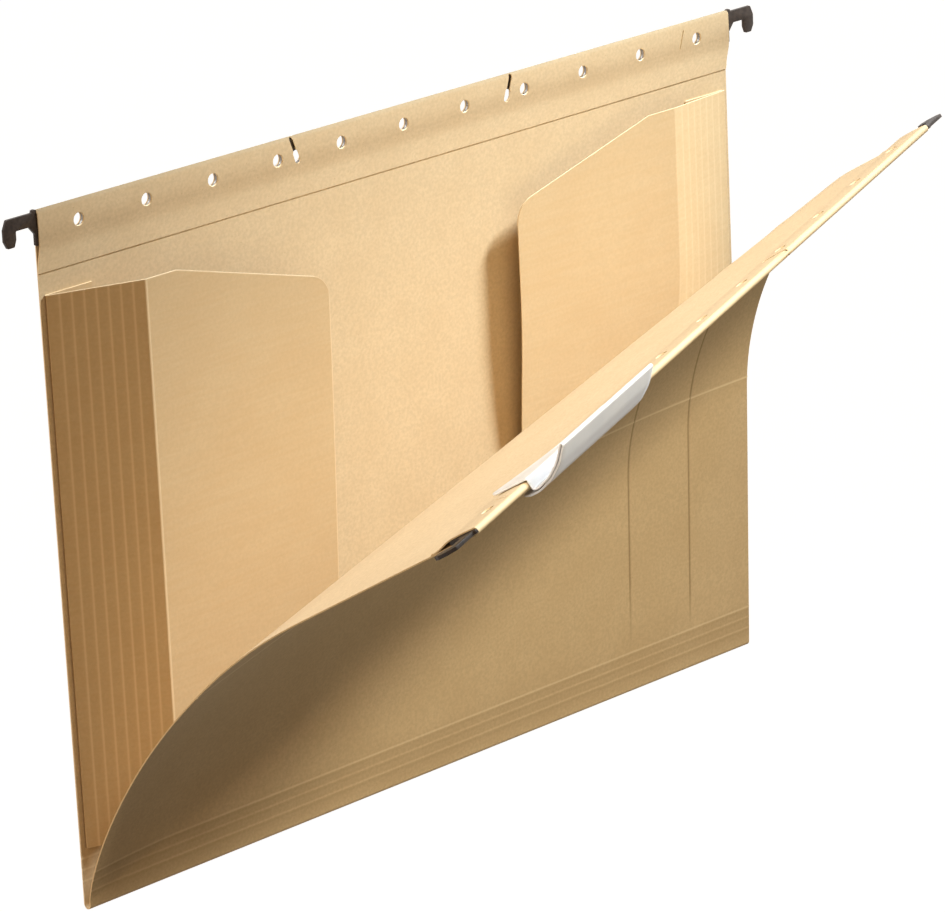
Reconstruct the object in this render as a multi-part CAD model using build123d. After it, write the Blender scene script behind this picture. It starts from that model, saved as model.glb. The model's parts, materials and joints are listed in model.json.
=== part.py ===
from build123d import *
import os
from math import cos, hypot, radians, sin

# Hanging file folder, opened by hand: X runs along the rails, the cover is on the -Y side, +Z is up.
# The origin is the middle of the line between the two hook seats of the back rail.

# Card: one sheet of kraft card, folded at the bottom into a back panel and a cover
card_width = 318.0
card_height = 240.0       # of the back panel
cover_extra = 2.4         # the cover is this much longer
card_thickness = 0.45
base_gap = 2.4            # clear width inside the bottom fold
bend_slot = 0.3           # slot left between two cover panels, along their bend line

# Hems: the card's top edges, turned inwards over the rails and glued down
hem_depth = 22.0
pocket_depth = 11.9       # height of the rail's pocket
pocket_slope = 2.6        # height over which the hem comes back to the panel
fold_radius = 0.9
pocket_clearance = 0.2    # play around the rail in its pocket

# Punched holes and slits in the hems
hole_count = 11
hole_edge = 16.5          # from the card's side to the middle of the first hole
hole_diameter = 4.3
hole_below_top = 6.6
slit_hole = 2             # each slit is beside this hole, counted from the middle one
slit_gap = 7.6            # from that hole's middle to the slit's middle
slit_length = 9.0
slit_width = 1.3
slit_below_top = 5.2
slit_lean = 18.0
window_width = 5.0        # window in the rail behind the lower half of a slit
notch_edge = 24.1         # from the card's side to a small cut in the hem
notch_length = 7.0
notch_width = 0.6

# Rails: flat steel strips with a hook at each end
rail_height = 11.0
rail_hole = 5.0           # holes in the rail, a little wider than those in the card
rail_corner = 0.4
rail_thickness = 1.2
arm_height = 4.3
hook_reach = 13.5         # from the card's edge to the end of the hook
end_strip = 1.0           # rail showing past the card's edge
shoulder_gap = 0.1        # small rise on top of that strip, just past the card's edge
shoulder_run = 1.6
shoulder_rise = 0.9
throat_run = 2.3
throat_drop = 2.8
prong_width = 4.8
prong_drop = 5.1          # prong below the seat
prong_taper = 2.4
tip_inner = 0.9
tip_outer = 1.2
crown_run = 1.4
crown_drop = 3.2

# Side flaps: two sheets of thinner card, each with a glued tab, a gusset and a face
flap_thickness = 0.35
fold_inset = 2.4          # from the card's edge to the gusset's fold
flap_below_top = 27.4
fold_slant = 1.4          # the flap's top edge is this much lower at its fold
flap_above_base = 21.0
glue_tab_width = 19.0
gusset_width = 32.0
face_width = 78.0
gusset_rise = 27.0        # the lower edge climbs from the fold to the gusset's crease
face_rise = 29.0          # and on to the free edge
level_run = 13.0          # level stretch of the face's top edge
slope_drop = 18.0
corner_radius = 9.0
layer_gap = 0.3           # between the glued tab and the folded gusset
left_gusset_angle = 24.0
left_face_lean = -3.0
right_gusset_angle = 3.0
right_face_lean = 0.6

# Cover as it is held open: it leans a little at the fold and bends along a fan of lines
cover_lean = 1.65
bend_count = 5
bend_step = 12.25
first_bend_left = 2.0     # heights above the fold, at the cover's two side edges
first_bend_right = 107.0
last_bend_left_below_top = 97.8
last_bend_right_below_top = 40.7
fan_power = 2.1           # the lines crowd together towards the lower left corner

# Index tab: a clear holder that clips over the cover's top edge, with a label in its sleeve
tab_from_left = 31.3
tab_length = 58.4
tab_wall = 0.6
tab_clearance = 0.25
foot_drop = 3.0
foot_flare = 1.1
knee_height = 4.0
ridge_height = 20.5
ridge_inset = 6.2         # the ridge leans over the folder's inside
lip_drop = 13.4
label_thickness = 0.25
label_clearance = 0.22
label_length = 57.0
label_margin = 0.6


# Worked out from the sizes above
half_width = card_width / 2
hole_pitch = (card_width - 2 * hole_edge) / (hole_count - 1)
slit_offset = slit_hole * hole_pitch - slit_gap
notch_offset = half_width - notch_edge
pocket_inside = rail_thickness + 2 * pocket_clearance
pocket_outside = pocket_inside + card_thickness
rail_top = -card_thickness - pocket_clearance      # measured down from the card's top
seat_level = rail_top - arm_height
card_top = -seat_level
panel_face = pocket_clearance + rail_thickness / 2  # inner face of the back panel
base_outer = base_gap / 2 + card_thickness
hinge_level = card_top - card_height + base_outer
cover_plane = panel_face - base_gap - card_thickness / 2
cover_height = card_height - base_outer + cover_extra
cover_top = card_top + cover_extra


def upright(points, thickness, centre=0.0):
    outline = Plane.XZ * Polygon(*points, align=None)
    return Pos(0, centre, 0) * extrude(outline, amount=thickness / 2, both=True)


def along_width(outline, length):
    return extrude(Plane.YZ * outline, amount=length / 2, both=True)


def both_sides(points):
    return points + [(-x, z) for x, z in reversed(points)]


def band(path, thickness):
    # Outline of a strip of even thickness along a path, with mitred corners
    near = []
    far = []
    for index, (x, y) in enumerate(path):
        normals = []
        for start, end in ((index - 1, index), (index, index + 1)):
            if start >= 0 and end < len(path):
                run = (path[end][0] - path[start][0], path[end][1] - path[start][1])
                length = hypot(*run)
                normals.append((-run[1] / length, run[0] / length))
        first, last = normals[0], normals[-1]
        reach = thickness / (1 + first[0] * last[0] + first[1] * last[1])
        shift = ((first[0] + last[0]) / 2 * reach, (first[1] + last[1]) / 2 * reach)
        near.append((x + shift[0], y + shift[1]))
        far.append((x - shift[0], y - shift[1]))
    return Polygon(*near, *reversed(far), align=None)


# Hems, rails and their cuts are drawn about the card's top edge, with the folder's inside towards -Y
def punched_holes(diameter):
    drill = Cylinder(diameter / 2, 4 * pocket_outside, rotation=(90, 0, 0))
    first = -(hole_count - 1) / 2 * hole_pitch
    return [Pos(first + i * hole_pitch, 0, -hole_below_top) * drill for i in range(hole_count)]


def slit(side):
    cut = Box(slit_width, 4 * pocket_outside, slit_length)
    return Pos(side * slit_offset, 0, -slit_below_top) * Rot(0, side * slit_lean, 0) * cut


def slit_window(side):
    drop = slit_length / 4
    across = -side * drop * sin(radians(slit_lean))
    cut = Box(window_width, 4 * pocket_outside, slit_length / 2)
    level = -slit_below_top - drop * cos(radians(slit_lean))
    return Pos(side * slit_offset + across, 0, level) * Rot(0, side * slit_lean, 0) * cut


def slits():
    return [slit(side) for side in (-1, 1)]


def make_hem():
    land = -pocket_depth - pocket_slope
    outline = Polygon(
        (0, 0),
        (-pocket_outside, 0),
        (-pocket_outside, -pocket_depth),
        (-card_thickness, land),
        (-card_thickness, -hem_depth),
        (0, -hem_depth),
        (0, land),
        (-pocket_inside, -pocket_depth),
        (-pocket_inside, -card_thickness),
        (0, -card_thickness),
        align=None,
    )
    outer_corner = outline.vertices().sort_by_distance((-pocket_outside, 0, 0))[0]
    hem = along_width(fillet(outer_corner, fold_radius), card_width)
    notch = Box(notch_width, 2 * card_thickness, notch_length)
    notch = Pos(notch_offset, -pocket_outside, -slit_below_top) * Rot(0, slit_lean, 0) * notch
    return hem - punched_holes(hole_diameter) - slits() - notch


def make_rail():
    root = half_width + end_strip
    end = half_width + hook_reach
    tip = seat_level - prong_drop
    shoulder = half_width + shoulder_gap
    outline = both_sides([
        (root, rail_top - rail_height),
        (root, seat_level - throat_drop),
        (root + throat_run, seat_level),
        (end - prong_width, seat_level),
        (end - prong_width, tip + prong_taper),
        (end - prong_width + tip_inner, tip),
        (end - tip_outer, tip),
        (end, tip + prong_taper),
        (end, rail_top - crown_drop),
        (end - crown_run, rail_top),
        (shoulder + shoulder_run, rail_top),
        (shoulder + shoulder_run, rail_top + shoulder_rise),
        (shoulder, rail_top + shoulder_rise),
        (shoulder, rail_top),
    ])
    strip = upright(outline, rail_thickness, -panel_face)
    strip = fillet(strip.edges().filter_by(Axis.Y), rail_corner)
    return strip - punched_holes(rail_hole) - [slit_window(side) for side in (-1, 1)]


# Back: panel, hem and rail, and the rounded fold along the bottom
def to_back(part):
    return Pos(0, panel_face, card_top) * part


def make_back_panel():
    foot = base_outer - card_height
    corners = both_sides([(half_width, foot), (half_width, 0)])
    panel = upright(corners, card_thickness, card_thickness / 2)
    return panel - punched_holes(hole_diameter) - slits()


def make_bottom_fold():
    ring = Circle(base_outer) - Circle(base_gap / 2)
    lower_half = Rectangle(2 * base_outer, base_outer, align=(Align.CENTER, Align.MAX))
    fold = along_width(ring & lower_half, card_width)
    return Pos(0, panel_face - base_gap / 2, hinge_level) * fold


# Side flaps, drawn folded flat against the back panel and then opened about their folds
fold_x = half_width - fold_inset
flap_plane = panel_face - flap_thickness - layer_gap - flap_thickness / 2
flap_top = card_top - flap_below_top
flap_base = card_top - card_height + flap_above_base
face_end = gusset_width + face_width


def flap_plate(side, points, plane):
    return upright([(side * (fold_x - s), z) for s, z in points], flap_thickness, plane)


def make_glue_tab(side):
    top = flap_top - fold_slant
    corners = [(0, flap_base), (glue_tab_width, flap_base), (glue_tab_width, top), (0, top)]
    return flap_plate(side, corners, panel_face - flap_thickness / 2)


def make_gusset(side, gusset_angle):
    start = bend_slot / 2
    end = gusset_width - bend_slot / 2
    corners = [(start, flap_base), (end, flap_base + gusset_rise), (end, flap_top), (start, flap_top - fold_slant)]
    gusset = flap_plate(side, corners, flap_plane)
    return gusset.rotate(gusset_fold(side), side * gusset_angle)


def make_face(side, gusset_angle, face_lean):
    start = gusset_width + bend_slot / 2
    low_start = flap_base + gusset_rise
    low_end = low_start + face_rise
    high_end = flap_top - slope_drop
    corners = [
        (start, low_start),
        (face_end, low_end),
        (face_end, high_end),
        (gusset_width + level_run, flap_top),
        (start, flap_top),
    ]
    face = flap_plate(side, corners, flap_plane)
    upper_corner = (side * (fold_x - face_end), flap_plane, high_end)
    lower_corner = (side * (fold_x - face_end), flap_plane, low_end)
    upright_edges = face.edges().filter_by(Axis.Y)
    rounded = [upright_edges.sort_by_distance(corner)[0] for corner in (upper_corner, lower_corner)]
    face = fillet(rounded, corner_radius)
    face = face.rotate(face_crease(side), side * (face_lean - gusset_angle))
    return face.rotate(gusset_fold(side), side * gusset_angle)


def gusset_fold(side):
    return Axis((side * fold_x, flap_plane, 0), (0, 0, 1))


def face_crease(side):
    return Axis((side * (fold_x - gusset_width), flap_plane, 0), (0, 0, 1))


# Cover, drawn flat and upright above its hinge line and then bent about each line in turn
def bend_heights(index):
    share = index / (bend_count - 1)
    last_left = cover_height - last_bend_left_below_top
    last_right = cover_height - last_bend_right_below_top
    left = first_bend_left + (last_left - first_bend_left) * share**fan_power
    right = first_bend_right + (last_right - first_bend_right) * share
    return left, right


def bend_axis(index):
    left, right = bend_heights(index)
    return Axis((-half_width, cover_plane, hinge_level + left), (card_width, 0, right - left))


cover_hinge = Axis((0, cover_plane, hinge_level), (1, 0, 0))


def bent(part, bends):
    for index in reversed(range(bends)):
        part = part.rotate(bend_axis(index), bend_step)
    return part.rotate(cover_hinge, cover_lean)


def make_cover_panel(index):
    low_left, low_right = bend_heights(index - 1) if index > 0 else (0.0, 0.0)
    high_left, high_right = bend_heights(index) if index < bend_count else (cover_height, cover_height)
    low_trim = bend_slot / 2 if index > 0 else bend_slot + card_thickness / 2
    high_trim = bend_slot / 2 if index < bend_count else 0.0
    corners = [
        (-half_width, hinge_level + low_left + low_trim),
        (half_width, hinge_level + low_right + low_trim),
        (half_width, hinge_level + high_right - high_trim),
        (-half_width, hinge_level + high_left - high_trim),
    ]
    panel = upright(corners, card_thickness, cover_plane)
    if index == bend_count:
        for cut in punched_holes(hole_diameter) + slits():
            panel = panel - Pos(0, cover_plane, cover_top) * cut
    return bent(panel, index)


def to_cover(part):
    turned = Pos(0, cover_plane + card_thickness / 2, cover_top) * Rot(0, 0, 180) * part
    return bent(turned, bend_count)


# Index tab, drawn in section about the cover's top edge: first number outwards, second number up
foot_outward = card_thickness / 2 + tab_clearance + tab_wall / 2
bridge_level = tab_clearance + tab_wall / 2
lip_outward = -(card_thickness / 2 + pocket_outside + tab_clearance + tab_wall / 2)
sleeve_slot = label_thickness + 2 * label_clearance
sleeve_run = (-ridge_inset - foot_outward, ridge_height - knee_height)
sleeve_length = hypot(*sleeve_run)
sleeve_up = (sleeve_run[0] / sleeve_length, sleeve_run[1] / sleeve_length)
sleeve_in = (-sleeve_up[1], sleeve_up[0])
tab_middle = -half_width + tab_from_left + tab_length / 2


def sleeve_point(inwards, up):
    outward = foot_outward + inwards * sleeve_in[0] + up * sleeve_up[0]
    return outward, knee_height + inwards * sleeve_in[1] + up * sleeve_up[1]


def from_section(outline, length):
    section = mirror(outline, about=Plane.YZ)
    solid = Pos(tab_middle, cover_plane, cover_top) * along_width(section, length)
    return bent(solid, bend_count)


def make_index_tab():
    wall_pitch = sleeve_slot + tab_wall
    rear_knee = sleeve_point(wall_pitch, 0)
    holder = [
        (foot_outward + foot_flare, -foot_drop),
        (foot_outward, bridge_level),
        (foot_outward, knee_height),
        sleeve_point(0, sleeve_length),
        sleeve_point(wall_pitch, sleeve_length),
        rear_knee,
        (rear_knee[0], bridge_level),
    ]
    clip = [(foot_outward, bridge_level), (lip_outward, bridge_level), (lip_outward, -lip_drop)]
    return from_section(band(holder, tab_wall) + band(clip, tab_wall), tab_length)


def make_index_label():
    middle = (sleeve_slot + tab_wall) / 2
    margin = tab_wall / 2 + label_margin
    path = [sleeve_point(middle, margin), sleeve_point(middle, sleeve_length - margin)]
    return from_section(band(path, label_thickness), label_length)


parts = {
    "back_panel": to_back(make_back_panel()),
    "back_hem": to_back(make_hem()),
    "back_rail": to_back(make_rail()),
    "bottom_fold": make_bottom_fold(),
    "front_hem": to_cover(make_hem()),
    "front_rail": to_cover(make_rail()),
    "index_tab": make_index_tab(),
    "index_label": make_index_label(),
}
for index in range(bend_count + 1):
    parts[f"cover_panel_{index + 1}"] = make_cover_panel(index)
for name, side, gusset_angle, face_lean in (
    ("left", -1, left_gusset_angle, left_face_lean),
    ("right", 1, right_gusset_angle, right_face_lean),
):
    parts[f"{name}_glue_tab"] = make_glue_tab(side)
    parts[f"{name}_gusset"] = make_gusset(side, gusset_angle)
    parts[f"{name}_flap_face"] = make_face(side, gusset_angle, face_lean)

os.makedirs("parts", exist_ok=True)
for name, part in parts.items():
    export_step(part, f"parts/{name}.step")
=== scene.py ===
import json
import math

import bpy
import numpy as np
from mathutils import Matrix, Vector


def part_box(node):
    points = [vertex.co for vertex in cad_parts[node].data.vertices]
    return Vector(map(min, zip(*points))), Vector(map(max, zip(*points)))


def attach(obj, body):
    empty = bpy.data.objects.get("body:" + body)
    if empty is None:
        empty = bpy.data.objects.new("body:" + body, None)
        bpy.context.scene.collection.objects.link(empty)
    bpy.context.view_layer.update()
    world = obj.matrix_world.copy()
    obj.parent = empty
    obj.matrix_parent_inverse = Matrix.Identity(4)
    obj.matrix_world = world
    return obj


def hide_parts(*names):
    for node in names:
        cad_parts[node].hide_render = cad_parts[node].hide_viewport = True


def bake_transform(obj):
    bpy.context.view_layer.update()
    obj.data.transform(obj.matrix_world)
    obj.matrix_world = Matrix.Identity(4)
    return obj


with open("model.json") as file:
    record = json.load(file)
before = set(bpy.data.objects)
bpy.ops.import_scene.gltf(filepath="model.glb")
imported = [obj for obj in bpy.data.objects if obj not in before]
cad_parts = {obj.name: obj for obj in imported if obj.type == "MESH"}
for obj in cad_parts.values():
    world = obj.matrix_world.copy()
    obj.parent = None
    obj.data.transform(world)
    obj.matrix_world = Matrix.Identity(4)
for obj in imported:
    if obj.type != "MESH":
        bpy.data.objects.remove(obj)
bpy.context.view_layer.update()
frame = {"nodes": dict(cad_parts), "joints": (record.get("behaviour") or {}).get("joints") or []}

mm = 0.001
joints = {joint["name"]: joint for joint in frame["joints"]}
panelLow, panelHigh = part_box("back_panel")
halfWidth = panelHigh.x
cardTop = panelHigh.z
cardThickness = panelHigh.y - panelLow.y
panelMiddle = (panelLow.y + panelHigh.y) / 2
hingeY = joints["cover_fold"]["pos_m"][1]
hingeZ = joints["cover_fold"]["pos_m"][2]
panelHeight = cardTop - hingeZ
coverExtra = 2.4 * mm  # the cover is longer than the back panel
coverHeight = panelHeight + coverExtra


# Small helpers shared by all pieces

def selectOnly(piece):
    bpy.ops.object.select_all(action="DESELECT")
    piece.select_set(True)
    bpy.context.view_layer.objects.active = piece


def addAndApply(piece, kind, **settings):
    selectOnly(piece)
    modifier = piece.modifiers.new(kind.title(), kind)
    for key, value in settings.items():
        setattr(modifier, key, value)
    bpy.ops.object.modifier_apply(modifier=modifier.name)


def smoothStep(low, high, value):
    share = np.clip((value - low) / (high - low), 0, 1)
    return share * share * (3 - 2 * share)


def ridge(value, middle, halfSpan):  # 1 on the line, 0 beyond the half span
    return 1 - smoothStep(0, halfSpan, np.abs(value - middle))


def window(low, high, fade, value):  # 1 between low and high, fading out inside both ends
    return smoothStep(low, low + fade, value) * (1 - smoothStep(high - fade, high, value))


def readAll(items, name, width=1, kind=float):  # one row for each item where it has a width
    values = np.empty(len(items) * width, kind)
    items.foreach_get(name, values)
    return values.reshape(-1, width) if width > 1 else values


def readPoints(piece):
    return readAll(piece.data.vertices, "co", 3)


def writePoints(piece, points):
    piece.data.vertices.foreach_set("co", np.asarray(points, float).ravel())
    piece.data.update()


def addPrimitive(kind, **settings):  # added with nothing else selected
    bpy.ops.object.select_all(action="DESELECT")
    getattr(bpy.ops.mesh, f"primitive_{kind}_add")(**settings)
    return bpy.context.object


def cardBlank(name, across, along):  # flat blank, one vertex for each row and column of the two arrays
    rowCount, columnCount = across.shape
    blank = addPrimitive("grid", x_subdivisions=columnCount - 1, y_subdivisions=rowCount - 1, size=2)
    blank.name = name
    blank.data.name = name
    points = readPoints(blank)
    column = np.rint((points[:, 0] + 1) / 2 * (columnCount - 1)).astype(int)
    row = np.rint((points[:, 1] + 1) / 2 * (rowCount - 1)).astype(int)
    flat = np.zeros_like(points)
    flat[:, 0] = across[row, column]
    flat[:, 1] = along[row, column]
    writePoints(blank, flat)
    return blank


def cutLines(blank, levels):  # new edges straight across the flat blank, where a score is pressed in
    selectOnly(blank)
    bpy.ops.object.mode_set(mode="EDIT")
    for level in levels:
        bpy.ops.mesh.select_all(action="SELECT")
        bpy.ops.mesh.bisect(plane_co=(0, level, 0), plane_no=(0, 1, 0))
    bpy.ops.object.mode_set(mode="OBJECT")


def storeOnPoints(blank, name, values):  # one number or one direction for each point
    values = np.asarray(values, np.float32)
    kind, key = ("FLOAT", "value") if values.ndim == 1 else ("FLOAT_VECTOR", "vector")
    attribute = blank.data.attributes.new(name, kind, "POINT")
    attribute.data.foreach_set(key, values.ravel())


def thicken(blank, thickness, surface, edge):  # card of even thickness, its cut edge in the second material
    blank.data.materials.append(surface)
    blank.data.materials.append(edge)
    addAndApply(blank, "SOLIDIFY", thickness=thickness, offset=0, use_even_offset=True,
                material_offset_rim=1)


sheetAgreement = 0.7  # a face that leans further from the sheet's normal is a cut edge


def settleNormals(piece):  # faces shade as one bent sheet, cut edges stay crisp
    mesh = piece.data
    stored = {}
    for key in ("sheetNormal", "shadeNormal"):
        source = mesh.attributes.get(key) or mesh.attributes["sheetNormal"]
        stored[key] = readAll(source.data, "vector", 3, np.float32)
    mesh.polygons.foreach_set("use_smooth", [True] * len(mesh.polygons))
    loopTotals = readAll(mesh.polygons, "loop_total", kind=int)
    loopVertices = readAll(mesh.loops, "vertex_index", kind=int)
    face = np.repeat(readAll(mesh.polygons, "normal", 3), loopTotals, axis=0)
    starts = np.concatenate([[0], np.cumsum(loopTotals)[:-1]])
    for key in stored:  # a point that a cut has added takes the mean of its face's other points
        values = stored[key][loopVertices]
        empty = np.linalg.norm(values, axis=1)[:, None] < 0.5
        total = np.add.reduceat(np.where(empty, 0, values), starts, axis=0)
        mean = np.repeat(total, loopTotals, axis=0)
        length = np.maximum(np.linalg.norm(mean, axis=1), 1e-6)[:, None]
        stored[key] = np.where(empty, mean / length, values)
    agreement = (face * stored["sheetNormal"]).sum(axis=1)
    shaded = stored["shadeNormal"] * np.sign(agreement)[:, None]
    chosen = np.where((np.abs(agreement) > sheetAgreement)[:, None], shaded, face)
    mesh.normals_split_custom_set(chosen.tolist())
    for key in stored:
        if key in mesh.attributes:
            mesh.attributes.remove(mesh.attributes[key])


def punch(piece, cutters, edge):  # holes and slits go through the finished card
    for cutter in cutters:
        cutter.data.materials.append(edge)
        cutter.data.materials.append(edge)
        cutter.data.polygons.foreach_set("material_index", [1] * len(cutter.data.polygons))
    selectOnly(cutters[0])
    for cutter in cutters:
        cutter.select_set(True)
    if len(cutters) > 1:
        bpy.ops.object.join()
    cutter = bpy.context.object
    addAndApply(piece, "BOOLEAN", operation="DIFFERENCE", solver="EXACT", object=cutter,
                material_mode="INDEX")
    bpy.data.objects.remove(cutter)
    print(piece.name, "punched,", len(piece.data.polygons), "faces")


# Finishes, all on object coordinates

def linear(red, green, blue):  # a colour from 0 to 255 as the light values that shaders use
    values = [channel / 255 for channel in (red, green, blue)]
    return tuple(v / 12.92 if v < 0.04045 else ((v + 0.055) / 1.055) ** 2.4 for v in values)


def addNode(tree, kind, **settings):
    made = tree.nodes.new("ShaderNode" + kind)
    for key, value in settings.items():
        setattr(made, key, value)
    return made


def newFinish(name):
    finish = bpy.data.materials.new(name)
    finish.use_nodes = True
    tree = finish.node_tree
    return finish, tree, tree.nodes["Principled BSDF"]


def grain(tree, size, stretch=(1, 1, 1), detail=2.0, low=0.35, high=0.65):  # noise with spots of this size
    spot = addNode(tree, "TexCoord")
    mapping = addNode(tree, "Mapping")
    mapping.inputs["Scale"].default_value = stretch
    noise = addNode(tree, "TexNoise")
    noise.inputs["Scale"].default_value = 1 / size
    noise.inputs["Detail"].default_value = detail
    span = addNode(tree, "MapRange")
    span.inputs["From Min"].default_value = low
    span.inputs["From Max"].default_value = high
    tree.links.new(spot.outputs["Object"], mapping.inputs["Vector"])
    tree.links.new(mapping.outputs["Vector"], noise.inputs["Vector"])
    tree.links.new(noise.outputs["Fac"], span.inputs["Value"])
    return span.outputs["Result"]


def between(tree, factor, first, second):  # two colours, or a colour and what was mixed before
    mix = addNode(tree, "Mix", data_type="RGBA")
    tree.links.new(factor, mix.inputs[0])
    for socket, colour in ((mix.inputs[6], first), (mix.inputs[7], second)):
        if isinstance(colour, tuple):
            socket.default_value = (*colour, 1)
        else:
            tree.links.new(colour, socket)
    return mix.outputs[2]


def scaled(tree, factor, low, high, full=1.0):  # low at 0, high at the full value
    span = addNode(tree, "MapRange")
    span.inputs["From Max"].default_value = full
    span.inputs["To Min"].default_value = low
    span.inputs["To Max"].default_value = high
    tree.links.new(factor, span.inputs["Value"])
    return span.outputs["Result"]


def roughen(tree, shader, height, depth, strength):
    bump = addNode(tree, "Bump")
    bump.inputs["Distance"].default_value = depth
    bump.inputs["Strength"].default_value = strength
    tree.links.new(height, bump.inputs["Height"])
    tree.links.new(bump.outputs["Normal"], shader.inputs["Normal"])


def tinted(colour, level):
    return tuple(channel * level for channel in colour)


cardGrain = {  # the same in all three cards
    "fleckStretch": (1, 1, 1.6), "fleckRange": (0.70, 0.74), "roughness": (0.92, 0.78), "specular": 0.25,
    "fibreStretch": (0.5, 1, 1), "fibreRange": (0.3, 0.7), "fibreHeight": 0.03 * mm,
}


def makeCard(look):
    finish, tree, shader = newFinish(look["name"])
    tone = linear(*look["tone"])
    mottle = grain(tree, look["mottle"], detail=3.0)
    vary = look["mottleDepth"]
    colour = between(tree, mottle, tinted(tone, 1 - vary), tinted(tone, 1 + vary))
    cloud = grain(tree, look["cloud"])
    dull = linear(*look["dull"])
    colour = between(tree, scaled(tree, cloud, 0.0, look["cloudDepth"]), colour, dull)
    streak = grain(tree, look["streak"], stretch=look["streakStretch"], detail=3.0)
    colour = between(tree, scaled(tree, streak, 0.0, look["streakDepth"]), colour, dull)
    fleck = grain(tree, look["fleck"], cardGrain["fleckStretch"], 2.0, *cardGrain["fleckRange"])
    colour = between(tree, scaled(tree, fleck, 0.0, look["fleckDepth"]), colour, linear(*look["fleckTone"]))
    rub = addNode(tree, "Attribute", attribute_name="rub").outputs["Fac"]  # above 0 paler: crushed fibres and cut edges, and painted highlights; below 0 darker: painted shade along pressed lines, folds and creases
    worn = scaled(tree, rub, 0.0, look["rubDepth"])
    colour = between(tree, worn, colour, linear(*look["rubTone"]))
    pressedLinesAndShade = scaled(tree, rub, 0.0, look["pressDepth"], full=-1.0)
    colour = between(tree, pressedLinesAndShade, colour, linear(*look["pressTone"]))
    tree.links.new(colour, shader.inputs["Base Color"])
    tree.links.new(scaled(tree, mottle, *cardGrain["roughness"]), shader.inputs["Roughness"])
    shader.inputs["Specular IOR Level"].default_value = cardGrain["specular"]
    fibre = grain(tree, look["fibre"], cardGrain["fibreStretch"], 4.0, *cardGrain["fibreRange"])
    roughen(tree, shader, fibre, cardGrain["fibreHeight"], look["fibreDepth"])
    return finish


kraftLook = {
    "name": "kraft_card", "tone": (215, 192, 155), "dull": (203, 176, 136),
    "mottle": 1.1 * mm, "mottleDepth": 0.06, "cloud": 16 * mm, "cloudDepth": 0.22,
    "streak": 0.8 * mm, "streakStretch": (0.2, 0.6, 1.0), "streakDepth": 0.14,
    "fleck": 0.9 * mm, "fleckDepth": 0.3, "fleckTone": (160, 124, 82),
    "fibre": 0.35 * mm, "fibreDepth": 0.25,
    "rubTone": (248, 232, 200), "rubDepth": 0.8, "pressTone": (120, 88, 52), "pressDepth": 0.8,
}
flapLook = {
    "name": "flap_card", "tone": (211, 186, 146), "dull": (202, 168, 122),
    "mottle": 1.1 * mm, "mottleDepth": 0.03, "cloud": 20 * mm, "cloudDepth": 0.16,
    "streak": 1.2 * mm, "streakStretch": (0.06, 0.3, 1.0), "streakDepth": 0.2,
    "fleck": 0.8 * mm, "fleckDepth": 0.1, "fleckTone": (164, 122, 76),
    "fibre": 0.35 * mm, "fibreDepth": 0.2,
    "rubTone": (250, 228, 190), "rubDepth": 0.8, "pressTone": (122, 82, 44), "pressDepth": 0.8,
}
edgeLook = {
    "name": "card_edge", "tone": (246, 226, 190), "dull": (228, 202, 158),
    "mottle": 0.5 * mm, "mottleDepth": 0.04, "cloud": 6 * mm, "cloudDepth": 0.2,
    "streak": 0.5 * mm, "streakStretch": (0.3, 1.0, 1.0), "streakDepth": 0.2,
    "fleck": 0.5 * mm, "fleckDepth": 0.15, "fleckTone": (186, 148, 102),
    "fibre": 0.3 * mm, "fibreDepth": 0.3,
    "rubTone": (252, 238, 208), "rubDepth": 0.5, "pressTone": (150, 110, 66), "pressDepth": 0.5,
}
kraftCard = makeCard(kraftLook)
flapCard = makeCard(flapLook)
cardEdge = makeCard(edgeLook)


def makeFinish(look):  # two tones of one fine pattern, and what else the look has
    finish, tree, shader = newFinish(look["name"])
    pattern = grain(tree, look["grain"], look["stretch"], look["detail"])
    colour = between(tree, pattern, *(linear(*tone) for tone in look["tones"]))
    if "worn" in look:
        low, high = look["wornRange"]
        worn = scaled(tree, grain(tree, look["worn"], low=low, high=high), 0.0, look["wornDepth"])
        colour = between(tree, worn, colour, linear(*look["wornTone"]))
    tree.links.new(colour, shader.inputs["Base Color"])
    tree.links.new(scaled(tree, pattern, *look["roughness"]), shader.inputs["Roughness"])
    for socket, value in look["sockets"].items():
        shader.inputs[socket].default_value = value
    if "bump" in look:
        roughen(tree, shader, pattern, look["bump"], look["bumpStrength"])
    return finish


steelLook = {
    "name": "rail_steel", "tones": ((50, 42, 37), (66, 56, 50)), "roughness": (0.36, 0.52),
    "grain": 1.6 * mm, "stretch": (1, 1, 1), "detail": 3.0, "bump": 0.05 * mm, "bumpStrength": 0.3,
    "worn": 7 * mm, "wornRange": (0.5, 0.75), "wornDepth": 0.35, "wornTone": (82, 72, 66),
    "sockets": {"Specular IOR Level": 0.2},
}
cutLook = {  # bare punched edges of the rails
    "name": "cut_steel", "tones": ((128, 124, 121), (168, 164, 160)), "roughness": (0.35, 0.55),
    "grain": 0.4 * mm, "stretch": (1, 0.2, 1), "detail": 3.0,
    "sockets": {"Metallic": 0.35},
}
plasticLook = {  # clear plastic over paper
    "name": "tab_plastic", "tones": ((204, 206, 209), (212, 213, 215)), "roughness": (0.28, 0.34),
    "grain": 9 * mm, "stretch": (1, 1, 1), "detail": 2.0,
    "sockets": {
        "Subsurface Weight": 0.4, "Subsurface Radius": (1, 1, 1), "Subsurface Scale": 1.0 * mm, "IOR": 1.49,
    },
}
endLook = {  # the tab's cut ends gather more light through deeper subsurface, and their paler tones are painted light
    **plasticLook, "name": "tab_end", "tones": ((242, 244, 247), (250, 251, 253)),
    "sockets": {**plasticLook["sockets"], "Subsurface Weight": 1.0, "Subsurface Scale": 3.0 * mm},
}
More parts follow.
